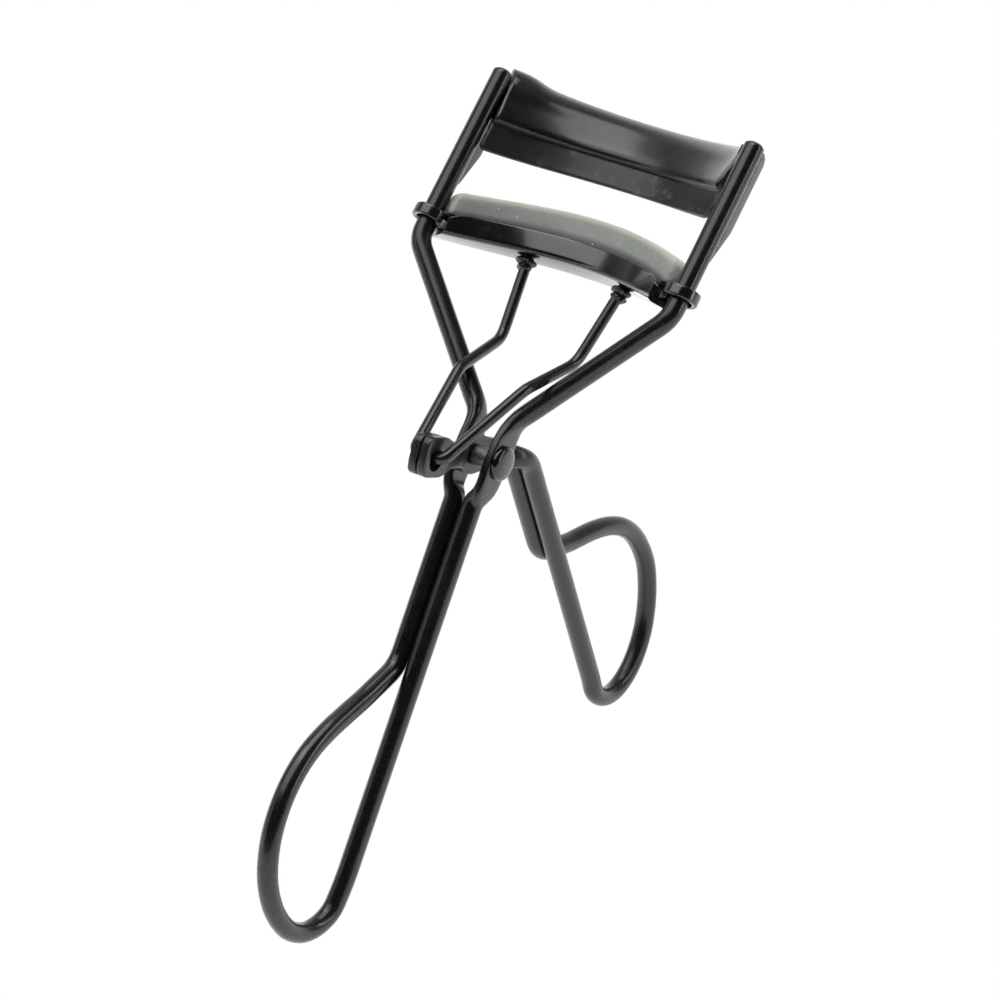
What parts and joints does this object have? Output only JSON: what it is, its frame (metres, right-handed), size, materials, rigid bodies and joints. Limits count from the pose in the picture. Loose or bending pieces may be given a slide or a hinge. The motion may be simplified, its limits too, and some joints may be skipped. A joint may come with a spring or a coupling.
{
  "type": "eyelash curler",
  "caption": "Bent-wire eyelash curler: scissor handles work a lever and push rods that raise a curved padded jaw against a fixed pressed jaw.",
  "frame": {"origin": "centre of the hinge rivet, midway between the two ears", "axes": "+Z along the guide rails towards the upper jaw, +Y away from the eye, towards the squeeze handle, +X across the jaws along the hinge axis"},
  "size_m": [0.0406, 0.0715, 0.1084],
  "materials": {
    "frame_lacquer": "gloss",
    "jaw_lacquer": "gloss",
    "rivet_lacquer": "gloss",
    "spacer_steel": "satin",
    "handle_lacquer": "gloss",
    "channel_lacquer": "gloss",
    "silicone": "matte",
    "rod_lacquer": "gloss"
  },
  "bodies": {
    "frame": {"frame_wire": "frame_lacquer", "upper_jaw_plate": "jaw_lacquer", "hinge_rivet": "rivet_lacquer", "hinge_spacer": "spacer_steel"},
    "squeeze_handle": {"squeeze_handle_wire": "handle_lacquer"},
    "lower_jaw": {"lower_jaw_channel": "channel_lacquer", "lash_pad": "silicone"},
    "rod_left": {"push_rod_left": "rod_lacquer"},
    "rod_right": {"push_rod_right": "rod_lacquer"}
  },
  "joints": [
    {"name": "lever_pivot", "type": "hinge", "parent": "frame", "child": "squeeze_handle", "pos_m": [0, 0, 0], "axis": [-1, 0, 0], "range_deg": [0, 25.5]},
    {"name": "jaw_slide", "type": "slide", "parent": "frame", "child": "lower_jaw", "axis": [0, 0, 1], "range_m": [0, 0.00451]},
    {"name": "rod_left_swing", "type": "hinge", "parent": "lower_jaw", "child": "rod_left", "pos_m": [-0.00689, 0.00069, 0.0254], "axis": [-1, 0, 0], "range_deg": [0, 2.09]},
    {"name": "rod_right_swing", "type": "hinge", "parent": "lower_jaw", "child": "rod_right", "pos_m": [0.00689, 0.00069, 0.0254], "axis": [-1, 0, 0], "range_deg": [0, 2.09]}
  ],
  "couplings": [
    {"joint": "jaw_slide", "follows": "lever_pivot", "m_per_rad": 0.010111},
    {"joint": "rod_left_swing", "follows": "lever_pivot", "ratio": 0.08},
    {"joint": "rod_right_swing", "follows": "lever_pivot", "ratio": 0.08}
  ]
}
